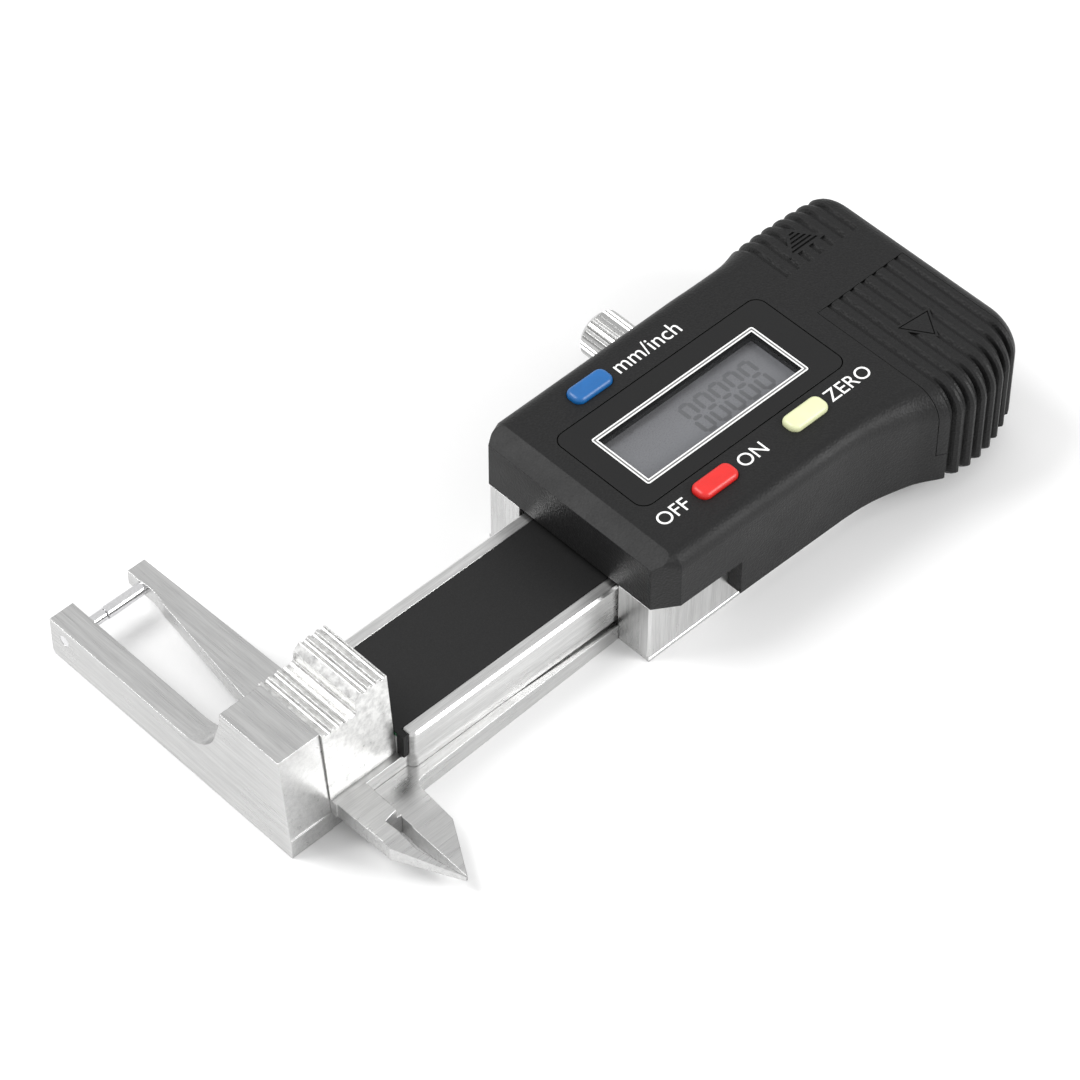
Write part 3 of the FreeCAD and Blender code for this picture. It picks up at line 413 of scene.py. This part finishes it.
LINE, MIDDLE, MIDDLE_DROP = 0.20 * MM, 0.24 * MM, 0.005 * MM
for name, inset, radius, width, drop, ink in (
        ("window_line_outer", 0.0, 0.35 * MM, LINE, 0.0, white_ink),
        ("window_line_middle", LINE, 0.2 * MM, MIDDLE, MIDDLE_DROP, grey_ink),
        ("window_line_inner", LINE + MIDDLE, 0.15 * MM, LINE, 0.0, white_ink)):
    mesh_piece(name, lambda bm: ring(bm, shrunk(window, inset), radius, width, window_high.z, face_z - drop),
               ink)

CAPITAL = 0.70  # height of a capital, as a share of the built-in typeface's size
INK_HALF, INK_LIFT = 0.01 * MM, 0.004 * MM


def label(name, words, key, offset, height):
    """Flat printed word, reading along +X and centred at an x offset from a key's middle."""
    curve = bpy.data.curves.new(name, "FONT")
    curve.body = words
    curve.size = height / CAPITAL
    curve.align_x = "CENTER"
    curve.align_y = "CENTER"
    curve.extrude = INK_HALF
    curve.resolution_u = 6
    text = linked(name + "_curve", curve)
    bpy.context.view_layer.update()
    mesh = bpy.data.meshes.new_from_object(text.evaluated_get(bpy.context.evaluated_depsgraph_get()))
    bpy.data.objects.remove(text)
    low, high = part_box(key)
    middle = (low + high) / 2
    piece = linked(name, mesh)
    piece.location = (middle.x + offset, middle.y, face_z + INK_LIFT)
    printed(piece, white_ink)


WORD = 2.05 * MM
label("legend_off", "OFF", "power_button", -7.2 * MM, WORD)
label("legend_on", "ON", "power_button", 6.6 * MM, WORD)
label("legend_zero", "ZERO", "zero_button", 7.8 * MM, WORD)
label("legend_units", "mm/inch", "unit_button", 10.0 * MM, 1.12 * WORD)


# ---- display digits -----------------------------------------------------------------------
def segment_digit(bm, x, y, width, height, z0, z1):
    """Seven bars of a display digit whose lower left corner is at x, y."""
    bar, gap = width * 0.27, width * 0.03
    half = height / 2

    def flat(x0, y0):
        return [(x0 + gap + bar / 2, y0), (x0 + bar, y0 - bar / 2), (x0 + width - bar, y0 - bar / 2),
                (x0 + width - gap - bar / 2, y0), (x0 + width - bar, y0 + bar / 2), (x0 + bar, y0 + bar / 2)]

    def upright(x0, y0):
        return [(x0, y0 + gap + bar / 2), (x0 + bar / 2, y0 + bar), (x0 + bar / 2, y0 + half - bar),
                (x0, y0 + half - gap - bar / 2), (x0 - bar / 2, y0 + half - bar), (x0 - bar / 2, y0 + bar)]

    for shape in (flat(x, y + bar / 2), flat(x, y + half), flat(x, y + height - bar / 2)):
        slab(bm, shape, z0, z1)
    for x0 in (x + bar / 2, x + width - bar / 2):
        for y0 in (y, y + half):
            slab(bm, upright(x0, y0), z0, z1)


DIGITS, DIGIT_PITCH, DIGIT_WIDE, DIGIT_TALL = 5, 2.62 * MM, 2.2 * MM, 5.9 * MM
DIGIT_THICK = 0.012 * MM
RIGHT_MARGIN = 4.3 * MM
BASE_DROP = 3.2 * MM  # from the display's middle to the digits' lower edge


def digits(bm):
    low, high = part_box("lcd_module")
    start = high.x - RIGHT_MARGIN - DIGITS * DIGIT_PITCH
    base = (low.y + high.y) / 2 - BASE_DROP
    for i in range(DIGITS):
        segment_digit(bm, start + i * DIGIT_PITCH, base, DIGIT_WIDE, DIGIT_TALL, high.z, high.z + DIGIT_THICK)


mesh_piece("display_digits", digits, printed_ink("digit_ink", (0.165, 0.168, 0.177)))


# ---- floor, light and camera --------------------------------------------------------------
FLOOR_REACH = 3.0
KEY_PLACE, KEY_SIZE, KEY_POWER = (-0.36, 0.43, 0.70), 0.5, 4.8
SIDE_PLACE, SIDE_SIZE, SIDE_POWER = (0.25, -0.40, 0.25), 0.28, 1.7
SKY = 0.79
AZIMUTH, ELEVATION, DISTANCE = math.radians(-43.70), math.radians(48.61), 0.5583
LENS, SENSOR = 146.58, 36.0


def floor():
    mesh = bpy.data.meshes.new("floor")
    corners = [(x * FLOOR_REACH, y * FLOOR_REACH, 0) for x, y in ((-1, -1), (1, -1), (1, 1), (-1, 1))]
    mesh.from_pydata(corners, [], [(0, 1, 2, 3)])
    piece = linked("floor", mesh)
    material, tree, shader = new_material("floor_white")
    cloud = noise(tree, 3.0, 2.0)
    feed(tree, shader, Base_Color=ramp(tree, cloud, [(0.3, (0.86, 0.86, 0.86)), (0.7, (0.88, 0.88, 0.88))]))
    shader.inputs["Roughness"].default_value = 0.7
    mesh.materials.append(material)


def area_light(name, place, aim, size, power):
    light = bpy.data.lights.new(name, "AREA")
    light.shape = "DISK"
    light.size = size
    light.energy = power
    lamp = linked(name, light)
    lamp.location = place
    lamp.rotation_euler = (Vector(aim) - Vector(place)).to_track_quat("-Z", "Y").to_euler()


def studio():
    world = bpy.data.worlds.new("studio")
    world.use_nodes = True
    background = world.node_tree.nodes["Background"]
    background.inputs["Color"].default_value = (1.0, 1.0, 1.0, 1.0)
    background.inputs["Strength"].default_value = SKY
    bpy.context.scene.world = world
    area_light("key_light", KEY_PLACE, (0, 0, 0), KEY_SIZE, KEY_POWER)
    area_light("side_light", SIDE_PLACE, (0.04, -0.06, 0), SIDE_SIZE, SIDE_POWER)
    bpy.context.scene.view_settings.view_transform = "Standard"
    bpy.context.scene.view_settings.look = "None"


def camera():
    """Three-quarter view from above the blades, with a long lens."""
    target = Vector((-0.0011, 0.0030, 0.0))
    back = Vector((math.sin(AZIMUTH) * math.cos(ELEVATION), -math.cos(AZIMUTH) * math.cos(ELEVATION),
                   math.sin(ELEVATION)))
    data = bpy.data.cameras.new("camera")
    data.lens = LENS
    data.sensor_width = SENSOR
    data.clip_start, data.clip_end = 0.02, 20.0
    piece = linked("camera", data)
    piece.location = target + back * DISTANCE
    piece.rotation_euler = (-back).to_track_quat("-Z", "Y").to_euler()
    bpy.context.scene.camera = piece


floor()
studio()
camera()
